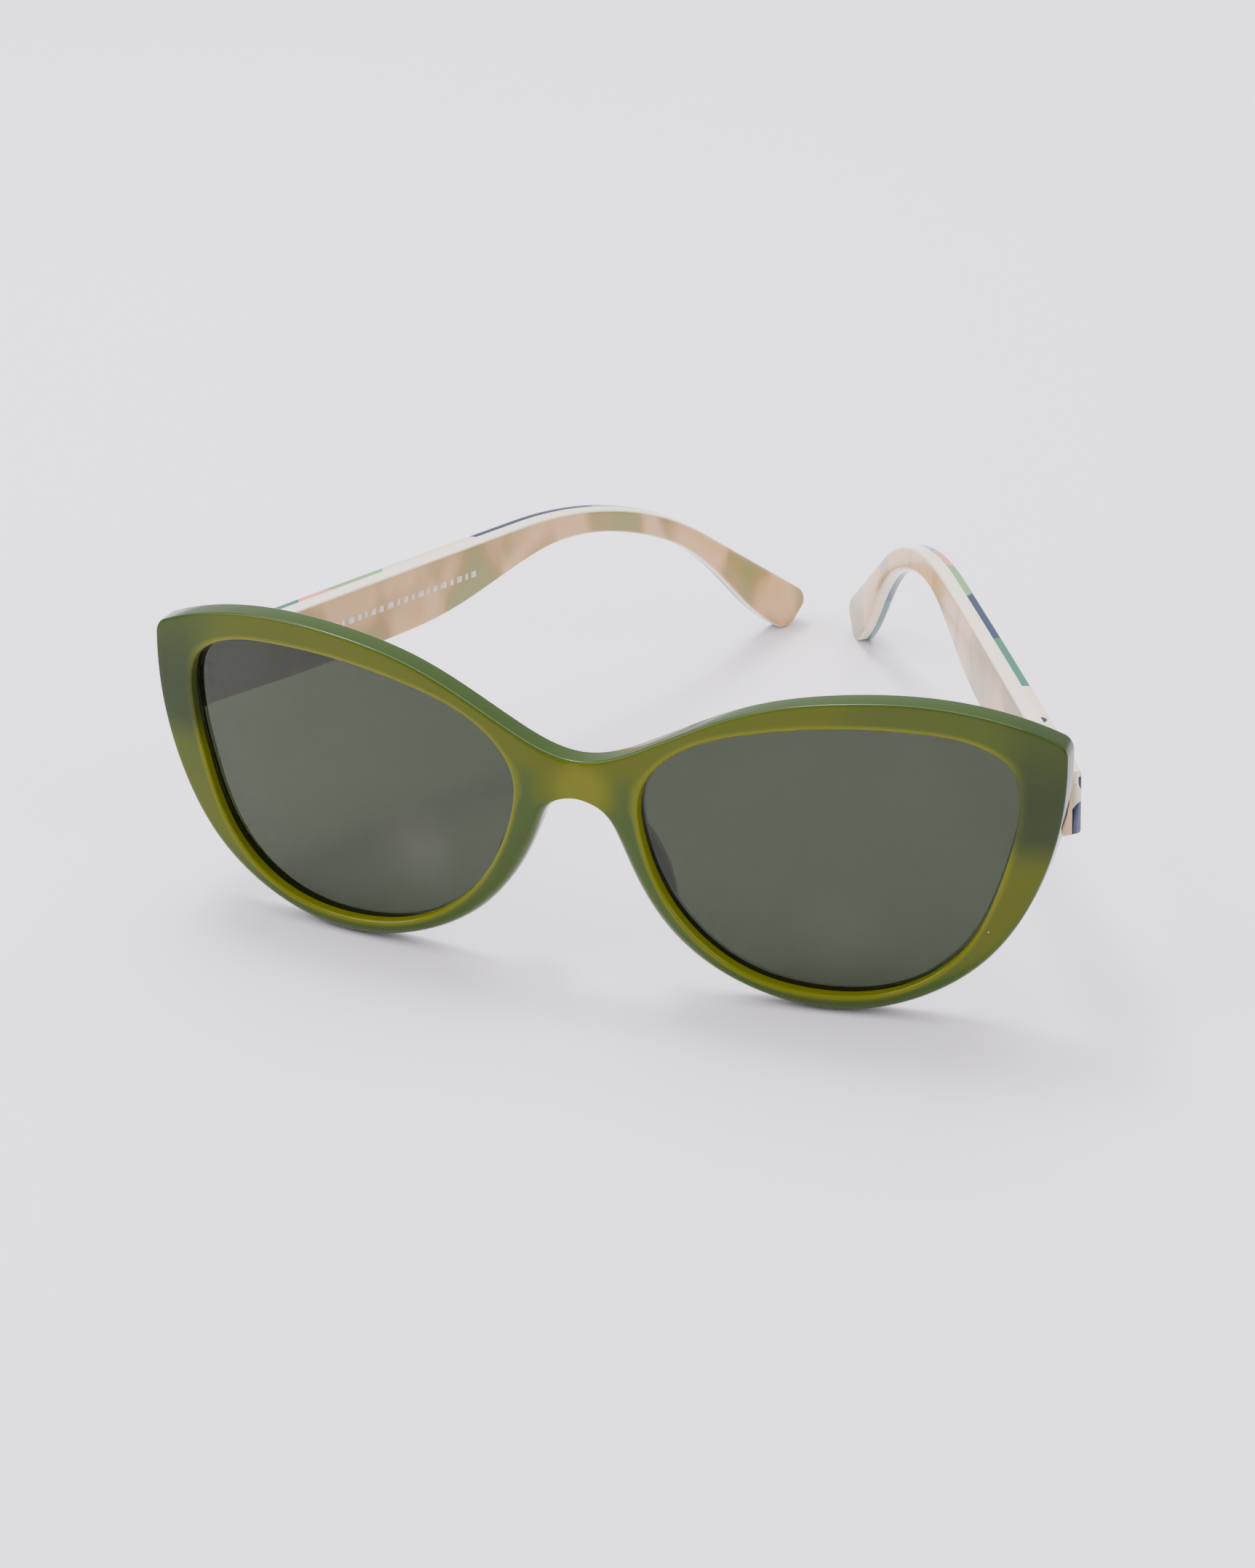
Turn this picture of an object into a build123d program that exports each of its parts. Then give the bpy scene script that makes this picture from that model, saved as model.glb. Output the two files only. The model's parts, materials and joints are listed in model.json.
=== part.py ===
from build123d import *
import math
import os

# Cat eye sunglasses: an acetate front bent to a base curve, two lenses, nose pads, barrel hinges
# and two laminated temples, standing half folded on a table.
# +X runs along the front, +Y goes back towards the ears, +Z is up.
# The origin is the middle of the underside of the bridge. All sizes are in millimetres.
# The right side is +X; left pieces are mirror images.

# Front
BASE_CURVE_RADIUS = 330.0      # horizontal bend of the front's outer face
FRONT_THICKNESS = 4.7
FRONT_LEAN = 4.0               # degrees, top of the front leans back
LENS_CENTRE_X = 38.0           # half of the 76 mm between lens centres
BRIDGE_UNDERSIDE_Z = 5.0       # height of the bridge's underside above the lens centre line
# Outline of the right half, about the lens centre line: along the top, then down and back to the bridge
FRONT_TOP = [(0, 11.3), (11, 14.9), (26, 22.1), (40, 25.2), (56, 25.4), (70.9, 21.4)]
FRONT_CORNER = [(70.9, 21.4), (72.3, 19.3)]
FRONT_RIM = [(72.3, 19.3), (71.8, 8.5), (68.6, -3.2), (62.6, -13.5), (53, -21.1), (40, -24.7), (27, -22.5),
             (16.4, -16.6), (9.8, -8.4), (6.4, -0.9), (4.0, 3.5), (0, BRIDGE_UNDERSIDE_Z)]
# The right lens opening, about the middle of the lens
OPENING = [(0, 21.0), (13, 21.5), (21.5, 20.2), (26.6, 16.8), (27.8, 9.0), (26.0, 0), (21.0, -12.2),
           (12, -19.6), (0, -21.8), (-11.2, -19.7), (-21.2, -12.4), (-27.4, 0), (-27.8, 7.5),
           (-23.5, 13.6), (-11.6, 18.9)]

# Lenses
LENS_SETBACK = 1.8             # front face of the lens behind the front face of the rim
LENS_THICKNESS = 2.0
GROOVE_DEPTH = 0.8

# Temples
TEMPLE_LENGTH = 143.0          # hinge axis to tip, along the top edge
BEND_START = 68.0
BEND_RADIUS = 65.0
BEND_ANGLE = 38.0              # degrees
TEMPLE_TOP_Z = 13.02           # top edge above the lens centre line
TEMPLE_OUTER_X = 5.6           # outer face outboard of the hinge axis
TEMPLE_THICKNESS_FRONT = 4.0
TEMPLE_THICKNESS_TIP = 3.2
TIP_INSET = 3.6                # inward curve of the temple at its tip
PATTERN_THICKNESS = 1.4        # outer patterned lamina
BUTT_GAP = 0.25                # between the open temple and the back of the front
TIP_ROUND = 3.4
TEMPLE_START = -6.0            # blank's end ahead of the hinge axis, before the butt is cut
# Lower edge from the tip to the hinge: distance along the top edge, and depth below it
LOWER_EDGE = [(142, 8.2), (132, 7.6), (116, 4.5), (96, 4.0), (76, 4.8), (64, 7.3), (52, 10.3), (36, 11.3),
              (18, 11.0)]
START_DEPTH = 9.9              # depth of the temple at its blank's end
FACE_STATIONS = (TEMPLE_START, 30.0, 75.0, 150.0)

# Hinges
HINGE_X = 67.6
HINGE_Y = 14.6                 # behind the front face at the middle of the bridge
BARREL_RADIUS = 1.5
BARREL_HEIGHT = 1.3
BARREL_GAP = 0.08
BARREL_COUNT = 5
HINGE_CENTRE_DROP = 4.9        # below the temple's top edge
SCREW_RADIUS = 0.65
SCREW_HOLE_RADIUS = 0.70
SCREW_HEAD_RADIUS = 1.3
SCREW_HEAD_HEIGHT = 0.6
SCREW_TAIL = 0.4
SLOT_WIDTH = 0.35
SLOT_DEPTH = 0.3
LEAF_HEIGHT = 7.6
LEAF_SINK = 1.2                # depth of each leaf's plate in the acetate
FRONT_WEB_IN = 0.5             # web and plate, inboard of the hinge axis
FRONT_PLATE_OUT = 3.6
TEMPLE_PLATE_START = 2.0
TEMPLE_PLATE_LENGTH = 13.0
PLATE_END_FLAT = 0.1           # half of the flat left on the plate's rounded end
WEB_LENGTH = 3.4

# Rest pose: degrees each temple is folded in from fully open
FOLD_LEFT = 28.0
FOLD_RIGHT = 29.0

# Nose pads
PAD_HALF_SIZE = (2.2, 4.8, 8.5)
PAD_CENTRE = (11.0, -5.5)
PAD_FLARE = 24.0               # degrees from vertical
PAD_SINK = 0.6                 # pad's middle ahead of the front's back face

# Blocks and cylinders that only cut or bound other shapes
CUT_DEPTH = 30.0
CUT_HEIGHT = 140.0


def side_curve(points, start, end):
    """A smooth line through points, leaving along start and arriving along end."""
    return Spline(*points, tangents=[start, end])


def both_halves(edges):
    """A closed face from the right half of its outline and the mirrored left half."""
    mirrored = [edge.mirror(Plane.YZ) for edge in edges]
    return make_face(edges + mirrored)


def front_outline():
    top = side_curve(FRONT_TOP, (1, 0), (1, -0.45))
    corner = side_curve(FRONT_CORNER, (1, -0.45), (0.1, -1))
    rim = side_curve(FRONT_RIM, (0.05, -1), (-1, 0))
    return both_halves([top, corner, rim])


def opening_outline(grow=0.0):
    """The right lens opening about the middle of the lens, its line moved out by grow."""
    line = Spline(*OPENING, periodic=True)
    moved = []
    for point in OPENING:
        along = line.tangent_at(line.param_at_point(point))
        out = Vector(-along.Y, along.X)
        moved.append(Vector(*point) + out * grow)
    return make_face(Spline(*moved, periodic=True))


def cutter(face):
    """A block with the face's outline, running right through the front along Y."""
    return extrude(Plane.XZ * face, amount=CUT_DEPTH, both=True)


def on_both_lenses(face):
    right = Pos(LENS_CENTRE_X, 0, 0) * cutter(face)
    return right, right.mirror(Plane.YZ)


def base_curve_layer(front, back):
    """A bent sheet between two depths behind the front face."""
    outer = Cylinder(BASE_CURVE_RADIUS - front, CUT_HEIGHT)
    inner = Cylinder(BASE_CURVE_RADIUS - back, 2 * CUT_HEIGHT)
    return Pos(0, BASE_CURVE_RADIUS, 0) * (outer - inner)


def room_behind(depth):
    """Everything further back than a bent surface at a depth behind the front face."""
    return stand(Pos(0, BASE_CURVE_RADIUS, 0) * Cylinder(BASE_CURVE_RADIUS - depth, CUT_HEIGHT))


def stand(shape):
    """Lean a shape drawn about the lens centre line, and put the bridge's underside at the origin."""
    leaned = shape.rotate(Axis.X, -FRONT_LEAN)
    return leaned.translate(Vector(0, 0, 0) - bridge_point())


def bridge_point():
    underside = Vector(0, FRONT_THICKNESS / 2, BRIDGE_UNDERSIDE_Z)
    return underside.rotate(Axis.X, -FRONT_LEAN)


def lens_pair():
    layer = base_curve_layer(LENS_SETBACK, LENS_SETBACK + LENS_THICKNESS)
    right, left = on_both_lenses(opening_outline(GROOVE_DEPTH))
    return stand(right & layer), stand(left & layer)


def front_body():
    plate = cutter(front_outline()) & base_curve_layer(0, FRONT_THICKNESS)
    for opening in on_both_lenses(opening_outline()):
        plate = plate - opening
    return stand(plate)


def nose_pad():
    """A rounded pad standing out of the back of the right rim, beside the nose."""
    egg = scale(Sphere(1), by=PAD_HALF_SIZE)
    egg = egg.rotate(Axis.Y, -PAD_FLARE)
    egg = stand(Pos(PAD_CENTRE[0], FRONT_THICKNESS - PAD_SINK, PAD_CENTRE[1]) * egg)
    return egg & room_behind(FRONT_THICKNESS)


def hinge_centre():
    """The middle of the right hinge: on its axis, halfway up its barrels."""
    middle = Vector(HINGE_X, HINGE_Y, TEMPLE_TOP_Z - HINGE_CENTRE_DROP)
    return middle - bridge_point()


def along_temple(distance, depth):
    """A point at a distance along the top edge and a depth below it, in the temple's side view."""
    bend = math.radians(BEND_ANGLE)
    turn = min(max((distance - BEND_START) / BEND_RADIUS, 0), bend)
    past = max(distance - BEND_START - BEND_RADIUS * bend, 0)
    y = min(distance, BEND_START) + BEND_RADIUS * math.sin(turn) + past * math.cos(turn)
    z = -BEND_RADIUS * (1 - math.cos(turn)) - past * math.sin(turn)
    return y - depth * math.sin(turn), z - depth * math.cos(turn)


def temple_side_face():
    """The temple's side view: deep beside the hinge, slim along the shaft, a paddle at the ear."""
    bend_end = BEND_START + BEND_RADIUS * math.radians(BEND_ANGLE)
    lead = Line((TEMPLE_START, 0), (BEND_START, 0))
    bend = ThreePointArc((BEND_START, 0), along_temple((BEND_START + bend_end) / 2, 0),
                         along_temple(bend_end, 0))
    paddle_top = Line(along_temple(bend_end, 0), along_temple(TEMPLE_LENGTH, 0))
    tip = Line(along_temple(TEMPLE_LENGTH, 0), along_temple(*LOWER_EDGE[0]))
    lower = Spline(*[along_temple(*pair) for pair in LOWER_EDGE], (TEMPLE_START, -START_DEPTH))
    butt = Line((TEMPLE_START, -START_DEPTH), (TEMPLE_START, 0))
    face = make_face([lead, bend, paddle_top, tip, lower, butt])
    tip_corners = face.vertices().sort_by(Axis.X)[-2:]
    return fillet(tip_corners, TIP_ROUND)


def temple_layer(outer_depth, inner_depth):
    """The plan view of one lamina, between two depths under the outer face at its front end."""
    thickness_loss = TEMPLE_THICKNESS_FRONT - TEMPLE_THICKNESS_TIP

    def face_line(depth):
        slimming = thickness_loss * depth / TEMPLE_THICKNESS_FRONT
        points = []
        for y in FACE_STATIONS:
            inset = TIP_INSET * (max(y, 0) / TEMPLE_LENGTH) ** 2
            x = TEMPLE_OUTER_X - inset - depth + slimming * max(y, 0) / TEMPLE_LENGTH
            points.append((x, y))
        return Spline(*points)

    outer = face_line(outer_depth)
    inner = face_line(inner_depth)
    face = make_face([outer, inner, Line(outer @ 0, inner @ 0), Line(outer @ 1, inner @ 1)])
    return extrude(face, amount=CUT_HEIGHT / 2, both=True)


def open_temple(outer_depth, inner_depth):
    """One lamina of the right temple, fully open, with its butt cut to the back of the front."""
    side = extrude(Plane.YZ * temple_side_face(), amount=CUT_DEPTH, both=True)
    lamina = side & temple_layer(outer_depth, inner_depth)
    lamina = Pos(0, 0, HINGE_CENTRE_DROP) * lamina
    lamina = lamina.translate(hinge_centre())
    return lamina & room_behind(FRONT_THICKNESS + BUTT_GAP)


def barrel_levels(first):
    """Heights of every second barrel's middle, about the middle of the hinge."""
    pitch = BARREL_HEIGHT + BARREL_GAP
    middle = (BARREL_COUNT - 1) / 2
    return [(level - middle) * pitch for level in range(first, BARREL_COUNT, 2)]


def barrels_with_webs(first, web):
    """Barrels about the origin, each with a web, drilled for the screw."""
    leaf = Part()
    for z in barrel_levels(first):
        leaf += Pos(0, 0, z) * (Cylinder(BARREL_RADIUS, BARREL_HEIGHT) + web)
    return leaf - Cylinder(SCREW_HOLE_RADIUS, LEAF_HEIGHT * 2)


def front_leaf():
    """Three barrels on a plate that is sunk in the back of the end piece."""
    web_width = FRONT_WEB_IN + BARREL_RADIUS
    web = Box(web_width, WEB_LENGTH, BARREL_HEIGHT)
    web = Pos((BARREL_RADIUS - FRONT_WEB_IN) / 2, -WEB_LENGTH / 2, 0) * web
    barrels = barrels_with_webs(0, web).translate(hinge_centre())
    plate_width = FRONT_WEB_IN + FRONT_PLATE_OUT
    plate = Pos((FRONT_PLATE_OUT - FRONT_WEB_IN) / 2, 0, 0) * Box(plate_width, 2 * WEB_LENGTH, LEAF_HEIGHT)
    skin = stand(base_curve_layer(FRONT_THICKNESS - LEAF_SINK, FRONT_THICKNESS))
    sunk = plate.translate(hinge_centre()) & skin
    return barrels + sunk


def temple_leaf():
    """Two barrels on a plate that is sunk in the temple's inner face, temple open."""
    inner_face = TEMPLE_OUTER_X - TEMPLE_THICKNESS_FRONT
    web = Pos(inner_face / 2, WEB_LENGTH / 2, 0) * Box(inner_face, WEB_LENGTH, BARREL_HEIGHT)
    plate = Box(LEAF_SINK, TEMPLE_PLATE_LENGTH, LEAF_HEIGHT)
    plate = fillet(plate.edges().filter_by(Axis.X).sort_by(Axis.Y)[-2:], LEAF_HEIGHT / 2 - PLATE_END_FLAT)
    centre_y = TEMPLE_PLATE_START + TEMPLE_PLATE_LENGTH / 2
    leaf = barrels_with_webs(1, web) + Pos(inner_face + LEAF_SINK / 2, centre_y, 0) * plate
    return leaf.translate(hinge_centre())


def hinge_screw():
    """A slotted screw through all the barrels, dropped in from above."""
    stack = BARREL_COUNT * BARREL_HEIGHT + (BARREL_COUNT - 1) * BARREL_GAP
    length = stack + SCREW_TAIL
    shank = Pos(0, 0, (stack - length) / 2) * Cylinder(SCREW_RADIUS, length)
    head = Pos(0, 0, (stack + SCREW_HEAD_HEIGHT) / 2) * Cylinder(SCREW_HEAD_RADIUS, SCREW_HEAD_HEIGHT)
    head = fillet(head.edges().sort_by(Axis.Z)[-1], SCREW_HEAD_HEIGHT / 2)
    top = stack / 2 + SCREW_HEAD_HEIGHT
    slot = Pos(0, 0, top) * Box(4 * SCREW_HEAD_RADIUS, SLOT_WIDTH, 2 * SLOT_DEPTH)
    return (shank + head - slot).translate(hinge_centre())


def folded(shape, side):
    """A right temple piece, or its mirror image on the left, turned in to the rest pose."""
    if side == "right":
        axis = Axis(hinge_centre(), (0, 0, 1))
        return shape.rotate(axis, FOLD_RIGHT)
    centre = hinge_centre()
    axis = Axis((-centre.X, centre.Y, centre.Z), (0, 0, 1))
    return shape.mirror(Plane.YZ).rotate(axis, -FOLD_LEFT)


def sided(shape, side):
    return shape if side == "right" else shape.mirror(Plane.YZ)


def build():
    nodes = {}
    lens_right, lens_left = lens_pair()
    front = front_body() - lens_right - lens_left
    nodes["lens_right"] = lens_right
    nodes["lens_left"] = lens_left

    leaf = front_leaf()
    pad = nose_pad()
    inner_leaf = temple_leaf()
    screw = hinge_screw()
    pattern = open_temple(0, PATTERN_THICKNESS)
    core = open_temple(PATTERN_THICKNESS, TEMPLE_THICKNESS_FRONT) - inner_leaf
    for side in ("left", "right"):
        nodes[f"front_hinge_{side}"] = sided(leaf, side)
        nodes[f"nose_pad_{side}"] = sided(pad, side)
        nodes[f"hinge_screw_{side}"] = sided(screw, side)
        nodes[f"temple_hinge_{side}"] = folded(inner_leaf, side)
        nodes[f"temple_core_{side}"] = folded(core, side)
        nodes[f"temple_pattern_{side}"] = folded(pattern, side)
        front = front - nodes[f"front_hinge_{side}"]
    nodes["front_frame"] = front
    return nodes


os.makedirs("parts", exist_ok=True)
for name, shape in build().items():
    export_step(shape, f"parts/{name}.step")
    box = shape.bounding_box()
    print(f"{name}: solids {len(shape.solids())}, volume {shape.volume:.1f}, "
          f"z {box.min.Z:.2f} to {box.max.Z:.2f}, y {box.min.Y:.2f} to {box.max.Y:.2f}")
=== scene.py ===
"""Cat eye sunglasses: the finished surfaces, materials and studio around the CAD frame."""
import json
import math
from types import SimpleNamespace

import bmesh
import bpy
import numpy as np
from bpy.props import FloatProperty, FloatVectorProperty, PointerProperty
from mathutils import Matrix, Vector


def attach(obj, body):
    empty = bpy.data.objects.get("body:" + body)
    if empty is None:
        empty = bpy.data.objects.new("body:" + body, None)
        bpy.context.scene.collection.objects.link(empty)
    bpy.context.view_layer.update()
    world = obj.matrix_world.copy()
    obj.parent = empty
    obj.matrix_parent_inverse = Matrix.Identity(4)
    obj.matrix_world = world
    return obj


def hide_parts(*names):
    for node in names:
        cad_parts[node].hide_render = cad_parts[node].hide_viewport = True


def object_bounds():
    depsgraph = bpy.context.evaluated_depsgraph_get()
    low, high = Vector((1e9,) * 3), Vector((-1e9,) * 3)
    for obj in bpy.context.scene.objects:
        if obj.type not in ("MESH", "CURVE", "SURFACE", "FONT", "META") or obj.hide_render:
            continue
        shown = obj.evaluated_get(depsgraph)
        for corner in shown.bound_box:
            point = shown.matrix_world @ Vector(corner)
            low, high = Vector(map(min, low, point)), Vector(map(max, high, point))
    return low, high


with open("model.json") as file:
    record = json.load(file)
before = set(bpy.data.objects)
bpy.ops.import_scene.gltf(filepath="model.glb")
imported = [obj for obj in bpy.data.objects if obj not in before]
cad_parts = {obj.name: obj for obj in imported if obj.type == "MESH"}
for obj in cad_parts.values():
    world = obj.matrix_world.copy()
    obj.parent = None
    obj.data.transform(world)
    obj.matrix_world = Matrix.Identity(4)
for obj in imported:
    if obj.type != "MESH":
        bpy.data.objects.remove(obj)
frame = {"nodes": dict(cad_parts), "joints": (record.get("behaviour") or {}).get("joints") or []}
CAD_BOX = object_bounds()

bl_info = {
    "name": "Cat Eye Sunglasses",
    "version": (1, 0, 0),
    "blender": (4, 5, 0),
    "location": "View3D > Sidebar > Sunglasses",
    "description": "Builds an acetate cat eye sunglasses front, lenses, temples and studio",
    "category": "Add Mesh",
}

MM = 0.001
SIDES = {"left": -1.0, "right": 1.0}
JOINTS = {joint["child"]: joint for joint in frame["joints"]}

# Fixed sizes, in mm
BRIDGE_UNDERSIDE = 5.0          # above the lens centre line
BRIDGE_TOP = 11.3
LENS_CENTRE_X = 38.0
BACK_OPENING_EDGE = 0.4         # edge radius round each lens at the back
PLATE_DIP = 0.12                # how far the acetate is cut back round a hinge's plate
TIP_ROUND = 3.4                 # corner radius of the temple's tip, seen from the side
TIP_EDGE = 0.8                  # its edge radius, seen from above
OUTER_EDGE = 0.45               # edge radius of the temple's outer face
INNER_EDGE = 0.7                # edge radius of its inner face
GLUED_EDGE = 0.03               # edge radius where its two sheets meet
PRINT_TOP, PRINT_BOTTOM = 4.6, 5.7          # the printed dashes, below the temple's top edge
PRINT_START, PRINT_GAP = 27.0, 0.7
PRINT_WIDTHS = (1.0, 0.6, 1.3, 0.8, 0.5, 1.1, 0.9, 1.4, 0.6, 1.0, 0.7, 1.2, 0.5, 0.9, 1.3, 0.8, 1.1, 0.6, 1.0)

# Each lamp: place and width in metres, and watts
LAMPS = {"overhead": ((-0.15, 0.5, 1.1), 1.2, 20.0), "strip": ((-0.35, 0.35, 1.0), 0.3, 8.0),
         "key": ((-0.8, -0.3, 0.8), 0.7, 8.5), "fill": ((0.9, -0.2, 0.7), 0.7, 4.0)}
ROOM_GLOW = 0.94
FLOOR_REACH = 3.0               # metres from the middle to each edge


# ---------------------------------------------------------------- sizes and colours

def size(name, text, size_mm):
    """A length that a user can change, given in mm and kept in metres."""
    return FloatProperty(name=name, description=text, default=size_mm * MM, unit="LENGTH", precision=5)


def angle(name, text, degrees):
    return FloatProperty(name=name, description=text, default=math.radians(degrees), subtype="ANGLE")


class FrontSizes(bpy.types.PropertyGroup):
    """Sizes of the acetate front and its lenses"""
    base_radius: size("Base curve", "Radius of the front's bend", 330.0)
    thickness: size("Thickness", "Thickness of the acetate plate", 4.7)
    lean: angle("Lean", "How far the top leans back", 4.0)
    softness: FloatProperty(name="Edge softness", description="Scales the rounding of the outer edge",
                            default=1.0, subtype="FACTOR")
    opening_edge: size("Opening edge", "Edge radius round each lens", 0.45)
    back_edge: size("Back edge", "Edge radius at the back", 0.9)
    lens_setback: size("Lens setback", "Lens behind the rim's face", 1.8)
    lens_thickness: size("Lens thickness", "Thickness of each lens", 2.0)
    groove: size("Groove", "How far the lens sits in the rim", 0.8)


class TempleSizes(bpy.types.PropertyGroup):
    """Sizes of the laminated temples"""
    length: size("Length", "Hinge axis to tip along the top edge", 143.0)
    bend_start: size("Bend start", "Straight run before the bend", 68.0)
    bend_radius: size("Bend radius", "Radius of the ear bend", 65.0)
    bend_angle: angle("Bend angle", "Turn of the ear bend", 38.0)
    top_above_hinge: size("Top", "Top edge above the hinge's middle", 4.9)
    outer_x: size("Outer face", "Outer face outboard of the hinge axis", 5.6)
    thick_front: size("Front thickness", "Thickness beside the hinge", 4.0)
    thick_tip: size("Tip thickness", "Thickness at the tip", 3.2)
    tip_inset: size("Tip inset", "Inward curve at the tip", 3.6)
    pattern: size("Pattern", "Thickness of the outer sheet", 1.4)
    butt_gap: size("Butt gap", "Gap to the front when open", 0.25)


class CameraPlace(bpy.types.PropertyGroup):
    """Where the camera stands"""
    azimuth: angle("Azimuth", "Turn to the object's right", 20.77)
    elevation: angle("Elevation", "Height angle above the table", 27.9)
    roll: angle("Roll", "Clockwise tilt", 1.6)
    distance: size("Distance", "From the target", 542.0)
    target: FloatVectorProperty(name="Target", description="Point looked at", subtype="TRANSLATION",
                                default=(0.0065, 0.0031, 0.0012))
    lens: FloatProperty(name="Lens", description="Focal length", default=83.5, unit="CAMERA")


def colour(name, text, code):
    return FloatVectorProperty(name=name, description=text, subtype="COLOR", size=4, min=0, max=1,
                               default=linear(code))


def linear(code):
    """An sRGB hex code as linear red, green, blue and alpha."""
    channels = [int(code[i:i + 2], 16) / 255 for i in (0, 2, 4)]
    return tuple(c / 12.92 if c <= 0.04045 else ((c + 0.055) / 1.055) ** 2.4 for c in channels) + (1.0,)


class AcetateColours(bpy.types.PropertyGroup):
    """Colours of the acetate sheets, with the front's painted glow and painted shades"""
    olive: colour("Olive", "Front where light comes through", "4E5500")
    # Painted shade: the rolled edges, the nose's sides and faces turned from the front are painted this
    # darker green, where less light comes through; the acetate's own cloudy tone is mixed in with it.
    leaf: colour("Leaf", "Front at its rolled edges", "384B16")
    # Painted shade: upward faces are painted a deeper green, as little light comes through them.
    top_face_shade: colour("Deep green", "Front's upward faces", "2D4014")
    # Painted shade: the end pieces over the hinges are painted darker, where the hinge's plate and the temple
    # behind keep light from coming through.
    hinge_shade: colour("Teal", "Front over the hinges", "233219")
    # Painted glow: the brighter olive that light coming through the acetate gives beside the lenses and on
    # the bridge.
    painted_glow: colour("Glow", "Front beside the lenses", "686A00")
    milk: colour("Milk", "Temple's clear layer", "EADFD0")
    peach: colour("Peach", "Temple's inner face", "DAAF7E")
    haze: colour("Haze", "Darker pattern showing through the temple", "A88C58")
    moss: colour("Moss", "Greenest pattern showing through the temple", "8F8D58")
    navy: colour("Navy", "Pattern", "22304C")
    bottle: colour("Bottle green", "Pattern", "2F6A58")
    fern: colour("Fern", "Pattern", "6F9A63")
    salmon: colour("Salmon", "Pattern", "D98F78")
    cream: colour("Cream", "Pattern", "E9D9BE")


def millimetres(group):
    """A group's settings by name, with its lengths in mm and its angles in radians."""
    values = {name: getattr(group, name) for name in type(group).__annotations__}
    for name, rule in group.bl_rna.properties.items():
        if name in values and rule.unit == "LENGTH":
            values[name] /= MM
    return SimpleNamespace(**values)


# ---------------------------------------------------------------- curves

def cubic(points, closed=False, start=None, end=None, per_span=24):
    """Samples of the smooth line through points; start and end are its directions there."""
    pts = np.array(points, float)
    if closed:
        pts = np.vstack([pts, pts[:1]])
    chord = np.linalg.norm(np.diff(pts[:, :2], axis=0), axis=1)
    knots = np.concatenate([[0], np.cumsum(chord)])
    n = len(pts)
    lhs, rhs = np.zeros((n, n)), np.zeros((n, pts.shape[1]))
    for i in range(1, n - 1):
        a, b = chord[i - 1], chord[i]
        lhs[i, i - 1:i + 2] = b, 2 * (a + b), a
        rhs[i] = 3 * (b * (pts[i] - pts[i - 1]) / a + a * (pts[i + 1] - pts[i]) / b)
    if closed:
        a, b = chord[-1], chord[0]
        lhs[0, [n - 2, 0, 1]] = b, 2 * (a + b), a
        rhs[0] = 3 * (b * (pts[0] - pts[-2]) / a + a * (pts[1] - pts[0]) / b)
        lhs[-1, [0, -1]] = 1, -1
    else:
        for row, way, other in ((0, start, 1), (n - 1, end, n - 2)):
            if way is None:
                lhs[row, [row, other]] = 2, 1
                rhs[row] = 3 * (pts[max(row, other)] - pts[min(row, other)]) / chord[min(row, other)]
            else:
                lhs[row, row] = 1
                rhs[row, :2] = np.array(way, float) / np.linalg.norm(way)
    slope = np.linalg.solve(lhs, rhs)
    out = []
    for i in range(n - 1):
        h = chord[i]
        t = np.linspace(0, 1, per_span, endpoint=False)[:, None]
        out.append((2 * t**3 - 3 * t**2 + 1) * pts[i] + (t**3 - 2 * t**2 + t) * h * slope[i]
                   + (3 * t**2 - 2 * t**3) * pts[i + 1] + (t**3 - t**2) * h * slope[i + 1])
    if not closed:
        out.append(pts[-1:])
    return np.vstack(out)


def outline_parts():
    """The front's right half, from the top of the bridge round to its underside: x, z and edge radius."""
    top = cubic([(0, BRIDGE_TOP, 0.5), (11, 14.9, 0.5), (26, 22.1, 0.45), (40, 25.2, 0.4), (56, 25.4, 0.35),
                 (70.9, 21.4, 0.35)], start=(1, 0), end=(1, -0.45))
    corner = cubic([(70.9, 21.4, 0.35), (72.3, 19.3, 0.35)], start=(1, -0.45), end=(0.1, -1), per_span=12)
    rim = cubic([(72.3, 19.3, 0.35), (71.8, 8.5, 0.4), (68.6, -3.2, 0.6), (62.6, -13.5, 1.0),
                 (53, -21.1, 1.7), (40, -24.7, 2.2), (27, -22.5, 2.5), (16.4, -16.6, 2.8), (9.8, -8.4, 2.8),
                 (6.4, -0.9, 2.4), (4.0, 3.5, 1.2), (0, BRIDGE_UNDERSIDE, 0.6)],
                start=(0.05, -1), end=(-1, 0))
    return np.vstack([top[:-1], corner[:-1], rim])


def opening_line(grow=0.0):
    """The right lens opening in the front's own plane, moved out by grow."""
    line = cubic([(0, 21.0), (13, 21.5), (21.5, 20.2), (26.6, 16.8), (27.8, 9.0), (26.0, 0), (21.0, -12.2),
                  (12, -19.6), (0, -21.8), (-11.2, -19.7), (-21.2, -12.4), (-27.4, 0), (-27.8, 7.5),
                  (-23.5, 13.6), (-11.6, 18.9)], closed=True)
    ahead = np.roll(line, -1, axis=0) - np.roll(line, 1, axis=0)
    out = np.stack([-ahead[:, 1], ahead[:, 0]], 1) / np.linalg.norm(ahead, axis=1)[:, None]
    return line + out * grow + (LENS_CENTRE_X, 0)


def at_angles(line, angles):
    """The points of a closed line in given directions from the lens centre."""
    offset = line - (LENS_CENTRE_X, 0)
    own = np.arctan2(offset[:, 1], offset[:, 0])
    radius = np.hypot(offset[:, 0], offset[:, 1])
    order = np.argsort(own)
    own, radius = own[order], radius[order]
    turn = 2 * math.pi
    own = np.concatenate([own - turn, own, own + turn])
    reach = np.interp(angles, own, np.tile(radius, 3))
    return np.stack([LENS_CENTRE_X + reach * np.cos(angles), reach * np.sin(angles)], 1)


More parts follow.
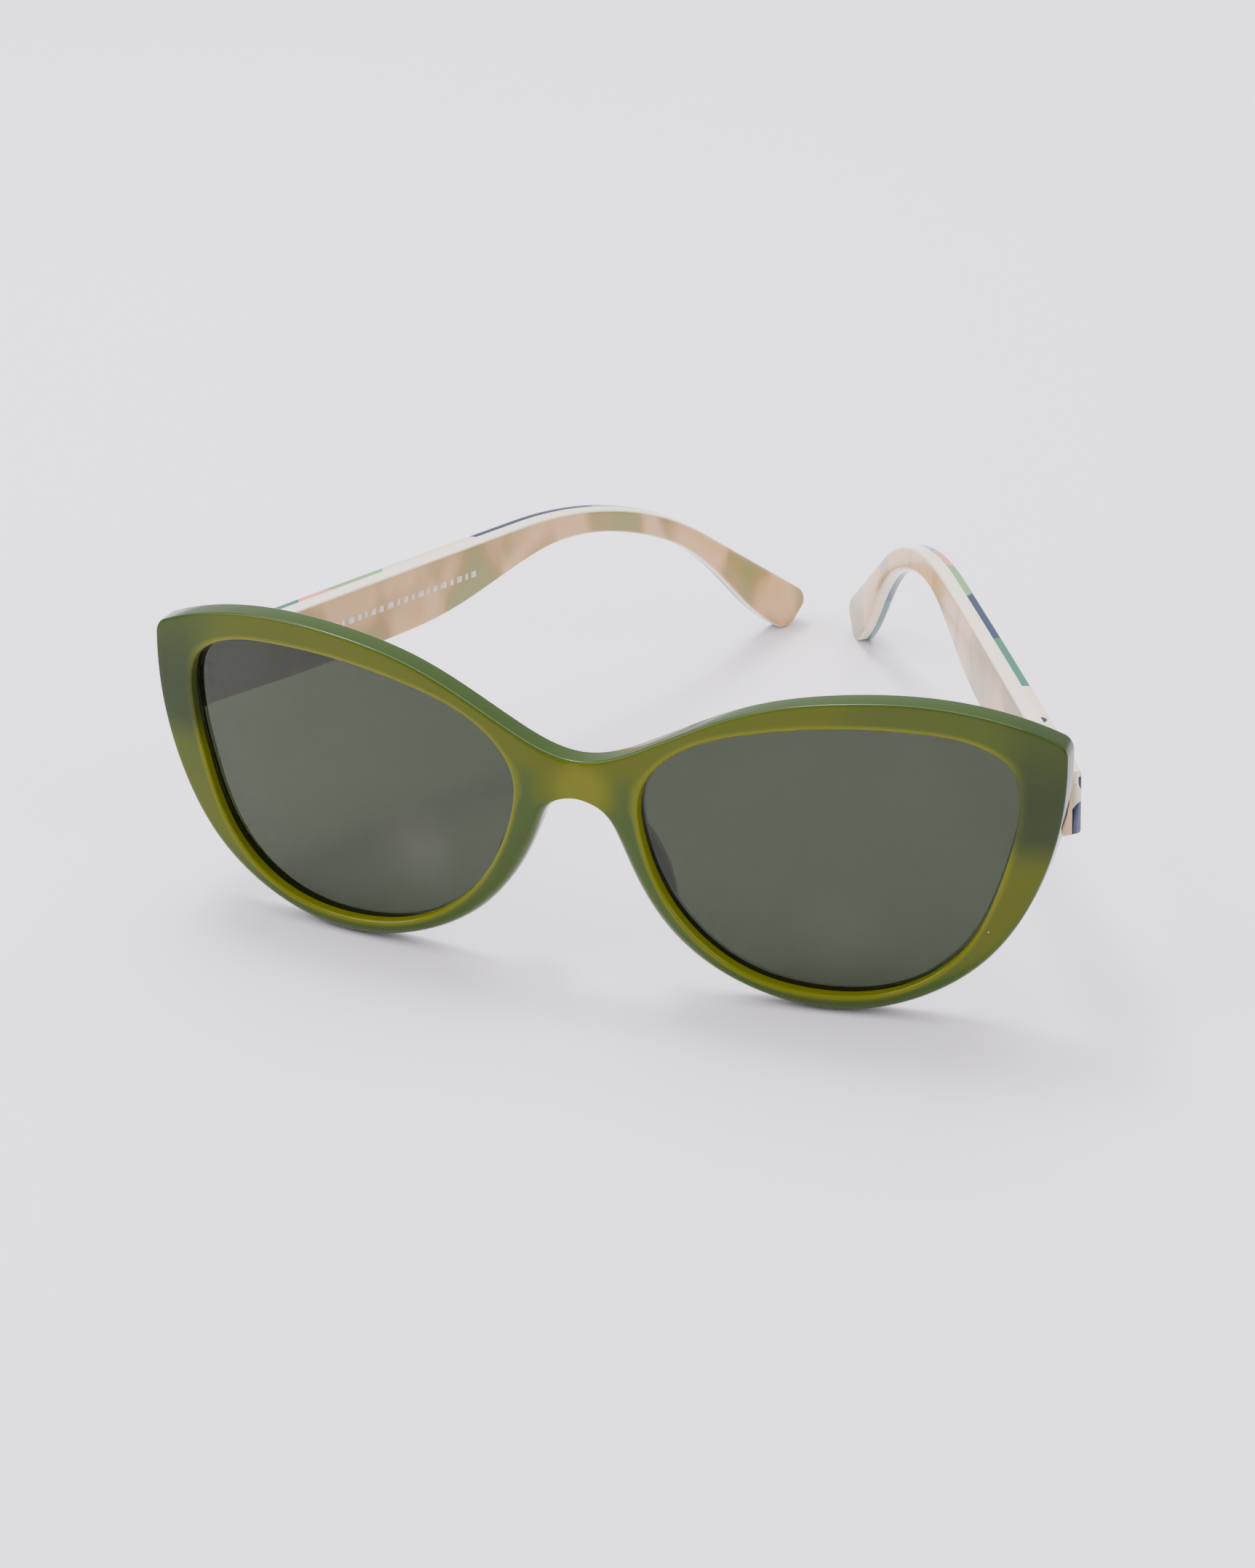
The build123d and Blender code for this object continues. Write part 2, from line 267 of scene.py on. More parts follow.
def facing_angles(loop, spread):
    """Directions from the lens centre in which each loop point meets the opening, evened out over a
    length of spread mm so that neighbouring points never bunch up."""
    raw = np.unwrap(np.arctan2(loop[:, 1], loop[:, 0] - LENS_CENTRE_X))
    steps = np.linalg.norm(np.diff(np.vstack([loop, loop[:1]]), axis=0), axis=1)
    place = np.concatenate([[0], np.cumsum(steps)])
    total, turn = place[-1], -2 * math.pi
    step = 0.25
    even = np.arange(0, total, step)
    angles = np.interp(even, place, np.append(raw, raw[0] + turn))
    offsets = np.arange(-3 * spread, 3 * spread, step)
    weights = np.exp(-0.5 * (offsets / spread)**2)
    reach = even[:, None] + offsets[None, :]
    laps = np.floor(reach / total)
    values = np.interp(reach - laps * total, even, angles) + laps * turn
    smooth = (values * weights).sum(1) / weights.sum()
    return np.interp(place[:-1], even, smooth)


def distance_to(points, line):
    """Distance of each point to a line given by close samples."""
    a, b = line[:-1], line[1:]
    along = b - a
    length = np.maximum((along**2).sum(1), 1e-9)
    best = np.full(len(points), np.inf)
    for i in range(len(a)):
        t = np.clip(((points - a[i]) @ along[i]) / length[i], 0, 1)[:, None]
        best = np.minimum(best, np.linalg.norm(points - a[i] - t * along[i], axis=1))
    return best


def rounding(distance, radius):
    """How far a rounded edge falls away at a distance from the outline."""
    inside = np.clip(radius - distance, 0, radius)
    return radius - np.sqrt(np.maximum(radius**2 - inside**2, 0))


def ease(value, low, high):
    """A smooth rise from 0 to 1 between two values."""
    t = np.clip((value - low) / (high - low), 0, 1)
    return t * t * (3 - 2 * t)


# ---------------------------------------------------------------- placing and mesh helpers

def lean_and_origin(sizes):
    """Cosine and sine of the front's lean, and the origin's place back and up from the middle of the
    front's face, in mm."""
    lean_cos, lean_sin = math.cos(sizes.lean), math.sin(sizes.lean)
    half = sizes.thickness / 2
    return (lean_cos, lean_sin, half * lean_cos + BRIDGE_UNDERSIDE * lean_sin,
            BRIDGE_UNDERSIDE * lean_cos - half * lean_sin)


def stand(x, depth, z, sizes):
    """From the front's own plane and depth to the part's frame, in metres, bent and leaned."""
    radius = sizes.base_radius
    y = radius - np.sqrt((radius - depth)**2 - x**2)
    lean_cos, lean_sin, origin_y, origin_z = lean_and_origin(sizes)
    back = y * lean_cos + z * lean_sin - origin_y
    up = z * lean_cos - y * lean_sin - origin_z
    return np.stack([x, back, up], -1) * MM


def new_mesh(name, points, faces, body, slot, material, nodes, **fields):
    """A smooth-shaded piece that rides on a body and stands for CAD nodes. fields are named values,
    one for each point."""
    mesh = bpy.data.meshes.new(name)
    mesh.from_pydata([tuple(p) for p in points], [], faces)
    for field, values in fields.items():
        mesh.attributes.new(field, "FLOAT", "POINT").data.foreach_set("value", values)
    obj = bpy.data.objects.new(name, mesh)
    bpy.context.scene.collection.objects.link(obj)
    work = bmesh.new()
    work.from_mesh(mesh)
    bmesh.ops.remove_doubles(work, verts=work.verts, dist=2e-6)
    bmesh.ops.recalc_face_normals(work, faces=work.faces)
    for face in work.faces:
        face.smooth = True
    work.to_mesh(mesh)
    work.free()
    mesh.materials.append(material)
    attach(obj, body)
    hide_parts(*nodes)
    return obj


def grid_faces(rows, columns, start=0, wrap=False):
    """Quads between rows of points laid one after another."""
    faces = []
    last = rows if wrap else rows - 1
    for r in range(last):
        for c in range(columns - 1):
            a = start + r * columns + c
            b = start + ((r + 1) % rows) * columns + c
            faces.append((a, a + 1, b + 1, b))
    return faces


# ---------------------------------------------------------------- materials

def add(tree, kind, inputs=None, out=0, **settings):
    """Adds a shader node and returns one of its outputs. inputs holds socket values, or the outputs
    that feed them."""
    node = tree.nodes.new(kind)
    for name, value in settings.items():
        setattr(node, name, value)
    for socket, value in (inputs or {}).items():
        if isinstance(value, bpy.types.NodeSocket):
            tree.links.new(value, node.inputs[socket])
        else:
            node.inputs[socket].default_value = value
    return node.outputs[out]


def new_material(name, **values):
    """A material whose shader has the given even values, with its node tree and shader."""
    material = bpy.data.materials.new(name)
    material.use_nodes = True
    shader = material.node_tree.nodes["Principled BSDF"]
    for key, value in values.items():
        shader.inputs[key.replace("_", " ")].default_value = value
    return material, material.node_tree, shader


def slope(low, high, top=1.0, bottom=0.0):
    """Socket values for a smooth rise from bottom to top between two values."""
    return {"From Min": low, "From Max": high, "To Min": bottom, "To Max": top}


def specks(tree, place, spacing_mm, share):
    """A mask of dust specks: a share of the cells of the given spacing carry one. They are drawn several
    times the size of real dust, so that they show."""
    cell = {"Vector": place, "Scale": 1000 / spacing_mm}
    distance = add(tree, "ShaderNodeTexVoronoi", cell, out="Distance")
    shade = add(tree, "ShaderNodeTexVoronoi", cell, out="Color")
    near = add(tree, "ShaderNodeMath", {0: distance, 1: 0.06}, operation="LESS_THAN")
    chosen = add(tree, "ShaderNodeSeparateColor", {0: shade})
    rare = add(tree, "ShaderNodeMath", {0: chosen, 1: share}, operation="LESS_THAN")
    both = add(tree, "ShaderNodeMath", {0: near, 1: rare}, operation="MULTIPLY")
    return add(tree, "ShaderNodeMath", {0: both, 1: 0.6}, operation="MULTIPLY")


def green_acetate(colours):
    """Milky cellulose acetate, cut from sheet, tumbled and polished. Light inside it turns it olive on
    the flats. A painted glow makes it brighter beside the lenses and on the bridge; painted shade makes
    its rolled edges a darker green, its upward faces a deeper green and the end pieces over the hinges
    dark teal, where the hinge behind keeps the light out."""
    material, tree, shader = new_material("green_acetate_polished", Roughness=0.1, IOR=1.48,
                                          Specular_IOR_Level=0.22)
    place = add(tree, "ShaderNodeTexCoord", out="Object")
    normal = add(tree, "ShaderNodeTexCoord", out="Normal")
    across = add(tree, "ShaderNodeSeparateXYZ", {0: place}, out="X")
    across = add(tree, "ShaderNodeMath", {0: across}, operation="ABSOLUTE")
    height = add(tree, "ShaderNodeSeparateXYZ", {0: place}, out="Z")
    facing = add(tree, "ShaderNodeSeparateXYZ", {0: normal}, out="Y")
    upward = add(tree, "ShaderNodeSeparateXYZ", {0: normal}, out="Z")
    clouds = add(tree, "ShaderNodeTexNoise", {"Vector": place, "Scale": 1000 / 26, "Detail": 1.5,
                                              "Roughness": 0.4})
    # from_bridge, at_bridge and upright place the painted glow on the bridge's upright face.
    from_bridge = add(tree, "ShaderNodeVectorMath", {0: place, 1: (0.001, -0.001, 0.0018)}, out="Value",
                      operation="DISTANCE")
    masks = {}
    for name, value, low, high, top, bottom in (
            ("past_bridge", across, 4.5 * MM, 8.5 * MM, 1.0, 0.0),
            ("below_bridge", height, 6.5 * MM, 1.5 * MM, 1.0, 0.0),
            ("inboard", across, 17 * MM, 12 * MM, 0.9, 0.0),
            ("at_bridge", from_bridge, 6.5 * MM, 2 * MM, 0.8, 0.0),
            # at_end, above_plate and below_corner place the painted hinge shade on the end pieces.
            ("at_end", across, 60.5 * MM, 67.5 * MM, 1.0, 0.0),
            ("above_plate", height, -5 * MM, 1.5 * MM, 0.85, 0.0),
            ("below_corner", height, 22 * MM, 6 * MM, 1.0, 0.35), ("turned", facing, -0.97, -0.55, 1.0, 0.0),
            # level marks the upward faces for the painted shade; upright keeps the bridge's painted glow off
            # them.
            ("level", upward, 0.45, 0.9, 1.0, 0.0), ("upright", upward, 0.75, 0.3, 1.0, 0.0),
            ("cloudy", clouds, 0.42, 0.70, 0.55, 0.0)):
        masks[name] = add(tree, "ShaderNodeMapRange", {"Value": value, **slope(low, high, top, bottom)},
                          interpolation_type="SMOOTHSTEP")
    # shoulder, turned and nose place the painted shade on the rolled edges; cloudy is the acetate's own
    # random tone.
    masks["shoulder"] = add(tree, "ShaderNodeAttribute", out="Fac", attribute_name="rolled")
    # beside_lens marks where the painted glow goes beside each lens.
    beside_lens = add(tree, "ShaderNodeAttribute", out="Fac", attribute_name="beside_lens")
    masks["rim"] = add(tree, "ShaderNodeMath", {0: beside_lens, 1: 0.85}, operation="MULTIPLY")
    for name, operation, parts in (("nose", "MULTIPLY", ("past_bridge", "below_bridge", "inboard")),
                                   ("greener", "ADD", ("turned", "cloudy", "shoulder", "nose")),
                                   ("bridge", "MULTIPLY", ("at_bridge", "upright")),
                                   ("bright", "MAXIMUM", ("rim", "bridge")),
                                   ("hinge", "MULTIPLY", ("at_end", "above_plate", "below_corner"))):
        masks[name] = masks[parts[0]]
        for part in parts[1:]:
            masks[name] = add(tree, "ShaderNodeMath", {0: masks[name], 1: masks[part]}, operation=operation,
                              use_clamp=True)
    masks["dust"] = specks(tree, place, 2.4, 0.05)
    body = colours.olive
    # Over the olive: painted shade on the rolled edges mixed with the acetate's own cloudy tone, painted
    # shade on upward faces, the painted glow, painted shade over the hinges, then real dust.
    for name, shade in (("greener", colours.leaf), ("level", colours.top_face_shade), ("bright", colours.painted_glow),
                        ("hinge", colours.hinge_shade), ("dust", linear("C9CBB2"))):
        body = add(tree, "ShaderNodeMix", {0: masks[name], 6: body, 7: shade}, out=2, data_type="RGBA")
    tree.links.new(body, shader.inputs["Base Color"])

    polish = add(tree, "ShaderNodeTexNoise", {"Vector": place, "Scale": 1000 / 9, "Detail": 3.0})
    relief = add(tree, "ShaderNodeBump", {"Height": polish, "Strength": 0.05, "Distance": 0.0002})
    tree.links.new(relief, shader.inputs["Normal"])
    return material


def smoke_lens():
    """Injection moulded smoke sun lens, hard coated: dark, clear and mirror smooth, with a faint painted
    highlight low on each lens."""
    material, tree, shader = new_material("smoke_polycarbonate_lens", Roughness=0.02, IOR=1.5,
                                          Transmission_Weight=1.0, Specular_Tint=linear("DFE6D8"))
    place = add(tree, "ShaderNodeTexCoord", out="Object")
    # Noise for a random tone in the lens's colour; it also breaks up the painted highlights.
    tone_and_highlight_noise = add(tree, "ShaderNodeTexNoise", {"Vector": place, "Scale": 1000 / 30, "Detail": 4.0,
                                              "Roughness": 0.55})
    body = add(tree, "ShaderNodeMix", {0: tone_and_highlight_noise, 6: linear("262D1E"), 7: linear("2F3626")}, out=2,
               data_type="RGBA")
    # Painted highlights: a lighter soft spot low on each lens, stronger on the left one; haze is the painted
    # highlight's mask.
    for centre, width, strength in (((-0.027, 0.0, -0.013), 9 * MM, 0.15),
                                    ((0.040, 0.0, -0.018), 10 * MM, 0.05)):
        away = add(tree, "ShaderNodeVectorMath", {0: place, 1: centre}, out="Value", operation="DISTANCE")
        painted_highlight = add(tree, "ShaderNodeMapRange", {"Value": away, **slope(width, 0.0, strength)},
                      interpolation_type="SMOOTHSTEP")
        haze = add(tree, "ShaderNodeMath", {0: painted_highlight, 1: tone_and_highlight_noise}, operation="MULTIPLY")
        body = add(tree, "ShaderNodeMix", {0: haze, 6: body, 7: linear("878A80")}, out=2, data_type="RGBA")
    body = add(tree, "ShaderNodeMix", {0: specks(tree, place, 2.6, 0.04), 6: body, 7: linear("8A8D84")},
               out=2, data_type="RGBA")
    tree.links.new(body, shader.inputs["Base Color"])
    return material


def patterned_acetate(colours):
    """Thin sheet of block-pressed acetate chips, about 12 mm each, laminated on the temple and
    polished: crisp leaf-like patches of five colours."""
    material, tree, shader = new_material("patterned_acetate_chips", Roughness=0.12, IOR=1.48,
                                          Coat_Weight=0.3, Coat_Roughness=0.04)
    place = add(tree, "ShaderNodeTexCoord", out="Object")
    wander = add(tree, "ShaderNodeTexNoise", {"Vector": place, "Scale": 1000 / 16, "Detail": 2.0},
                 out="Color")
    sway = (18 * MM,) * 3
    bent = add(tree, "ShaderNodeVectorMath", {0: wander, 1: sway, 2: place},
               operation="MULTIPLY_ADD")
    chips = add(tree, "ShaderNodeTexVoronoi", {"Vector": bent, "Scale": 1000 / 12}, out="Color")
    pick = add(tree, "ShaderNodeSeparateColor", {0: chips})
    body = colours.navy
    for start, shade in ((0.26, colours.bottle), (0.46, colours.salmon), (0.60, colours.cream),
                         (0.74, colours.fern), (0.88, colours.navy)):
        past = add(tree, "ShaderNodeMath", {0: pick, 1: start}, operation="GREATER_THAN")
        body = add(tree, "ShaderNodeMix", {0: past, 6: body, 7: shade}, out=2, data_type="RGBA")
    tree.links.new(body, shader.inputs["Base Color"])
    return material


def milky_acetate(colours):
    """Crystal acetate with a milky cast, polished: the chips behind it show as soft peach streaks,
    and its edges look clear and pale."""
    material, tree, shader = new_material("milky_crystal_acetate", Roughness=0.14, IOR=1.48,
                                          Specular_IOR_Level=0.35)
    place = add(tree, "ShaderNodeTexCoord", out="Object")
    normal = add(tree, "ShaderNodeTexCoord", out="Normal")
    streak = (1000 / 11, 1000 / 11, 1000 / 24)
    scaled = add(tree, "ShaderNodeVectorMath", {0: place, 1: streak}, operation="MULTIPLY")
    value = add(tree, "ShaderNodeTexNoise", {"Vector": scaled, "Scale": 1.0, "Detail": 1.5, "Roughness": 0.5,
                                             "Distortion": 0.4})
    body = colours.moss
    for low, high, shade in ((0.36, 0.44, colours.haze), (0.44, 0.56, colours.peach)):
        lighter = add(tree, "ShaderNodeMapRange", {"Value": value, **slope(low, high)})
        body = add(tree, "ShaderNodeMix", {0: lighter, 6: body, 7: shade}, out=2, data_type="RGBA")
    upward = add(tree, "ShaderNodeMath", {0: add(tree, "ShaderNodeSeparateXYZ", {0: normal}, out="Z")},
                 operation="ABSOLUTE")
    edge = add(tree, "ShaderNodeMapRange", {"Value": upward, **slope(0.35, 0.85)},
               interpolation_type="SMOOTHSTEP")
    body = add(tree, "ShaderNodeMix", {0: edge, 6: body, 7: colours.milk}, out=2, data_type="RGBA")
    tree.links.new(body, shader.inputs["Base Color"])
    return material


def print_ink():
    """Thin pad-printed ink: pale, slightly uneven and matte."""
    material, tree, shader = new_material("pale_pad_print_ink", Roughness=0.5)
    place = add(tree, "ShaderNodeTexCoord", out="Object")
    worn = add(tree, "ShaderNodeTexNoise", {"Vector": place, "Scale": 1000 / 0.8, "Detail": 2.0})
    body = add(tree, "ShaderNodeMix", {0: worn, 6: linear("D8C9B8"), 7: linear("EFE9E2")}, out=2,
               data_type="RGBA")
    tree.links.new(body, shader.inputs["Base Color"])
    return material


def plated_steel():
    """Nickel plated steel hinge leaf, stamped and barrel polished: bright, with a fine grain that is
    drawn at 0.3 mm, coarser than the real one, so that it shows."""
    material, tree, shader = new_material("nickel_plated_steel", Metallic=1.0, Base_Color=linear("9A9790"))
    place = add(tree, "ShaderNodeTexCoord", out="Object")
    grain = add(tree, "ShaderNodeTexNoise", {"Vector": place, "Scale": 1000 / 0.3, "Detail": 2.0})
    rough = add(tree, "ShaderNodeMapRange", {"Value": grain, **slope(0.0, 1.0, 0.38, 0.2)})
    tree.links.new(rough, shader.inputs["Roughness"])
    return material


def studio_board():
    """Pale lacquered studio board: smooth, with a low sheen."""
    material, tree, shader = new_material("pale_studio_board", Roughness=0.42, Specular_IOR_Level=0.25)
    place = add(tree, "ShaderNodeTexCoord", out="Object")
    tone = add(tree, "ShaderNodeTexNoise", {"Vector": place, "Scale": 9.0, "Detail": 2.0})
    body = add(tree, "ShaderNodeMix", {0: tone, 6: linear("F3ECF6"), 7: linear("F1EAF4")}, out=2,
               data_type="RGBA")
    tree.links.new(body, shader.inputs["Base Color"])
    return material


def once(name, maker, *inputs):
    """A material by name, made the first time that it is asked for."""
    return bpy.data.materials.get(name) or maker(*inputs)


# ---------------------------------------------------------------- pieces

def front_half(sizes):
    """Points and faces of the right half of the front, as bands from each lens out to the outline.
    Also gives how far each point is rolled over the outer edge, and how near it is to the lens."""
    outline = outline_parts()
    half_seam = (BRIDGE_TOP - BRIDGE_UNDERSIDE) / 2
    seam = BRIDGE_UNDERSIDE + half_seam * (1 - np.cos(np.linspace(0, math.pi, 26)))[1:-1]
    outer = outline[:, :2]
    loop = np.vstack([outer, np.stack([np.zeros(len(seam)), seam], 1)])
    edge = np.concatenate([outline[:, 2], np.linspace(outline[-1, 2], outline[0, 2], len(seam))])
    inner = at_angles(opening_line(), facing_angles(loop, 3.5))
    rows = len(loop)

    width = np.linalg.norm(loop - inner, axis=1)
    edge = np.minimum(edge * sizes.softness, width * 0.75)
    round_edge = 1 - np.cos(np.linspace(0, math.pi / 2, 9))[None, :]
    outer_share = round_edge * (edge / width)[:, None]
    inner_share = round_edge[:, ::2] * (sizes.opening_edge / width)[:, None]
    low, high = outer_share[:, -1:], 1 - inner_share[:, -1:]
    between = np.linspace(0, 1, 8)[1:-1][None, :]
    shares = np.hstack([outer_share, low + (high - low) * between, 1 - inner_share[:, ::-1]])
    columns = shares.shape[1]
    flat = loop[:, None, :] * (1 - shares[..., None]) + inner[:, None, :] * shares[..., None]
    points = flat.reshape(-1, 2)

    rim_distance = distance_to(points, outer)
    hole_distance = distance_to(points, np.vstack([opening_line(), opening_line()[:1]]))
    fall = np.maximum(rounding(rim_distance, np.repeat(edge, columns)),
                      rounding(hole_distance, sizes.opening_edge))
    back_fall = np.maximum(rounding(rim_distance, sizes.back_edge),
                           rounding(hole_distance, BACK_OPENING_EDGE))
    back_fall += hinge_recess(points)
    verts = np.vstack([stand(points[:, 0], fall, points[:, 1], sizes),
                       stand(points[:, 0], sizes.thickness - back_fall, points[:, 1], sizes)])

    back = rows * columns
    faces = grid_faces(rows, columns, 0, wrap=True) + grid_faces(rows, columns, back, wrap=True)
    for r in range(rows):
        a, b = r * columns, ((r + 1) % rows) * columns
        if r < len(outer) - 1:
            faces.append((a, b, b + back, a + back))
        a, b = a + columns - 1, b + columns - 1
        faces.append((a, b, b + back, a + back))
    reach = np.repeat(edge, columns)
    # rolled feeds the painted shade on the rolled edges in the acetate's colour.
    rolled = 1 - ease(rim_distance, reach * 0.9, reach * 1.5 + 0.3)
    rolled *= ease(reach, 0.6, 1.6)
    # beside_lens feeds the painted glow beside each lens in the acetate's colour.
    beside_lens = 1 - ease(hole_distance, 0.3, 1.0)
    return verts, faces, {"rolled": np.tile(rolled, 2), "beside_lens": np.tile(beside_lens, 2)}


def hinge_recess(points):
    """A shallow dip in the back of each end piece, where the hinge's plate is let in."""
    across, up = points.T
    return PLATE_DIP * ease(across, 65.5, 67.0) * ease(up, 1.5, 3.0) * ease(-up, -15, -13)


def build_front(sizes, colours):
    """The acetate front: its right half and the mirror image of it."""
    verts, faces, fields = front_half(sizes)
    mirrored = verts * (-1, 1, 1)
    count = len(verts)
    both = np.vstack([verts, mirrored])
    other = [tuple(i + count for i in face[::-1]) for face in faces]
    material = once("green_acetate_polished", green_acetate, colours)
    return new_mesh("front", both, faces + other, "front", "green_acetate", material, ["front_frame"],
                    **{field: np.tile(values, 2) for field, values in fields.items()})


def build_lens(side, sizes):
    """One lens: a bent sheet whose edge sits in the rim's groove."""
    edge = opening_line(sizes.groove)[::2]
    shares = 1 - np.linspace(0, 1, 14)**1.5
    centre = np.array([LENS_CENTRE_X, 0])
    rows = []
    for depth in (sizes.lens_setback, sizes.lens_setback + sizes.lens_thickness):
        flat = centre + (edge[:, None, :] - centre) * shares[None, :, None]
        rows.append(stand(flat[..., 0].ravel(), depth, flat[..., 1].ravel(), sizes))
    count, columns = len(edge), len(shares)
    faces = grid_faces(count, columns, 0, wrap=True) + grid_faces(count, columns, count * columns, wrap=True)
    for r in range(count):
        a, b = r * columns, ((r + 1) % count) * columns
        faces.append((a, b, b + count * columns, a + count * columns))
    verts = np.vstack(rows) * (SIDES[side], 1, 1)
    material = once("smoke_polycarbonate_lens", smoke_lens)
    return new_mesh(f"sun_lens_{side}", verts, faces, "front", "smoke_lens", material, [f"lens_{side}"])


def temple_path(distance, depth, sizes):
    """Back and up, in mm from the hinge's top edge, of points along the temple and below its edge."""
    turn = np.clip((distance - sizes.bend_start) / sizes.bend_radius, 0, sizes.bend_angle)
    past = np.maximum(distance - sizes.bend_start - sizes.bend_radius * sizes.bend_angle, 0)
    back = np.minimum(distance, sizes.bend_start) + sizes.bend_radius * np.sin(turn) + past * np.cos(turn)
    up = -sizes.bend_radius * (1 - np.cos(turn)) - past * np.sin(turn)
    return back - depth * np.sin(turn), up - depth * np.cos(turn)


def rounded_section(near, far, top, bottom, near_round, far_round):
    """A loop round a lamina's section: depth under the outer face, and drop below the top edge."""
    corners = [(near, top, 1, 1, near_round), (near, bottom, 1, -1, near_round),
               (far, bottom, -1, -1, far_round), (far, top, -1, 1, far_round)]
    loop = []
    for k, (depth, drop, inward, down, radius) in enumerate(corners):      # the corners turn alternate ways
        arc = np.linspace(0, math.pi / 2, 6)
        if k % 2:
            arc = arc[::-1]
        for angle in arc:
            loop.append((depth + inward * radius * (1 - math.sin(angle)),
                         drop + down * radius * (1 - math.cos(angle))))
    return np.array(loop)


def hinge_point(side):
    """Where a temple's hinge axis is, in mm, as on the right side."""
    hinge = np.array(JOINTS[f"temple_{side}"]["pos_m"]) / MM
    hinge[0] = abs(hinge[0])
    return hinge


def fold_to_rest(side, points):
    """Turns an open right temple's points about the hinge to this side's rest, in metres."""
    hinge = hinge_point(side)
    fold = math.radians(-JOINTS[f"temple_{side}"]["range_deg"][0])
    turned = (np.array(points) - hinge) @ np.array(Matrix.Rotation(fold, 3, "Z")).T + hinge
    return turned * MM * (SIDES[side], 1, 1)


def thickness_at(distance, sizes):
    return sizes.thick_front + (sizes.thick_tip - sizes.thick_front) * max(distance / sizes.length, 0)


def build_lamina(side, kind, sizes, front_sizes, colours):
    """One layer of a temple: 'pattern' is the outer sheet, 'core' the milky one with the hinge."""
    hinge = hinge_point(side)
    round_start = sizes.length - TIP_ROUND
    ends = sizes.length - TIP_ROUND * (1 - np.sin(np.linspace(0, math.pi / 2, 12)))
    stations = np.concatenate([[-6, 0, 2], np.linspace(4, round_start, 90)[:-1], ends])
    below = cubic([(-6, 9.9), (18, 11.0), (36, 11.3), (52, 10.3), (64, 7.3), (76, 4.8), (96, 4.0),
                   (116, 4.5), (132, 7.6), (142, 8.2), (144, 8.2)])
    loops = []
    for distance in stations:
        height = float(np.interp(distance, below[:, 0], below[:, 1]))
        tuck = float(rounding(sizes.length - distance, TIP_ROUND))
        slim = float(rounding(sizes.length - distance, TIP_EDGE))
        thickness = thickness_at(distance, sizes)
        thickness -= PLATE_DIP * float(ease(distance, 0, 1.5) * ease(-distance, -17, -14))
        if kind == "pattern":
            near, far, near_round, far_round = slim * 0.9, sizes.pattern, OUTER_EDGE, GLUED_EDGE
        else:
            near, far, near_round, far_round = sizes.pattern, thickness - slim, GLUED_EDGE, INNER_EDGE
        top, bottom = tuck, height - tuck
        room = max((bottom - top) / 2 - 0.01, 0.02)
        loop = rounded_section(near, far, top, bottom, min(near_round, room), min(far_round, room))
        slant = loop[:, 1] / 8.2 * float(ease(distance, 120, sizes.length))
        back, up = temple_path(distance - slant, loop[:, 1], sizes)
        inset = sizes.tip_inset * max(back.mean() / sizes.length, 0)**2
        x = hinge[0] + sizes.outer_x - inset - loop[:, 0]
        y, z = hinge[1] + back, hinge[2] + sizes.top_above_hinge + up
        if distance < 3:
            y = np.maximum(y, butt_depth(x, z, front_sizes, sizes.butt_gap))
        loops.append(np.stack([x, y, z], 1))
    verts = np.vstack(loops)
    columns = len(loops[0])
    faces = []
    for r in range(len(loops) - 1):
        for c in range(columns):
            a, b = r * columns + c, r * columns + (c + 1) % columns
            faces.append((a, b, b + columns, a + columns))
    faces.append(tuple(range(columns)))
    faces.append(tuple(range(len(verts) - columns, len(verts)))[::-1])
    names = {"pattern": ("patterned_acetate", "patterned_acetate_chips", patterned_acetate),
             "core": ("milky_acetate", "milky_crystal_acetate", milky_acetate)}
    slot, material_name, maker = names[kind]
    material = once(material_name, maker, colours)
    return new_mesh(f"temple_{kind}_sheet_{side}", fold_to_rest(side, verts), faces, f"temple_{side}",
                    slot, material, [f"temple_{kind}_{side}"])


def build_print(side, sizes):
    """A line of plain pale dashes printed inside the temple, in place of its size line."""
    hinge = hinge_point(side)
    verts, faces = [], []
    start = PRINT_START
    for width in PRINT_WIDTHS:
        base = len(verts)
        for distance in (start, start + width):
            bow = sizes.tip_inset * (distance / sizes.length)**2
            inner = hinge[0] + sizes.outer_x - bow - thickness_at(distance, sizes)
            for drop in (PRINT_TOP, PRINT_BOTTOM):
                back, up = temple_path(distance, drop, sizes)
                for proud in (0.03, -0.06):
                    verts.append((inner - proud, hinge[1] + back, hinge[2] + sizes.top_above_hinge + up))
        for quad in ((0, 2, 6, 4), (1, 5, 7, 3), (0, 4, 5, 1), (2, 3, 7, 6), (0, 1, 3, 2), (4, 6, 7, 5)):
            faces.append(tuple(base + i for i in quad))
        start += width + PRINT_GAP
    return new_mesh(f"temple_print_{side}", fold_to_rest(side, verts), faces, f"temple_{side}",
                    "milky_acetate", once("pale_pad_print_ink", print_ink), [f"temple_core_{side}"])


def butt_depth(x, z, sizes, gap):
    """Where the open temple's end meets the back of the front, in mm."""
    radius = sizes.base_radius
    y = radius - np.sqrt((radius - sizes.thickness - gap)**2 - x**2)
    lean_cos, lean_sin, origin_y, origin_z = lean_and_origin(sizes)
    own_z = (z + origin_z + y * lean_sin) / lean_cos
    return y * lean_cos + own_z * lean_sin - origin_y


def finish_node(name, material):
    """Gives a CAD node its material."""
    node = frame["nodes"][name]
    node.data.materials.clear()
    node.data.materials.append(material)


# ---------------------------------------------------------------- operators

class SUNGLASSES_OT_front(bpy.types.Operator):
    """Build the green acetate front and its nose pads"""
    bl_idname = "sunglasses.front"
    bl_label = "Front"

    def execute(self, context):
        own = context.scene.sunglasses
        build_front(millimetres(own.front), own.colours)
        for side in SIDES:
            finish_node(f"nose_pad_{side}", once("green_acetate_polished", green_acetate, own.colours))
        return {"FINISHED"}


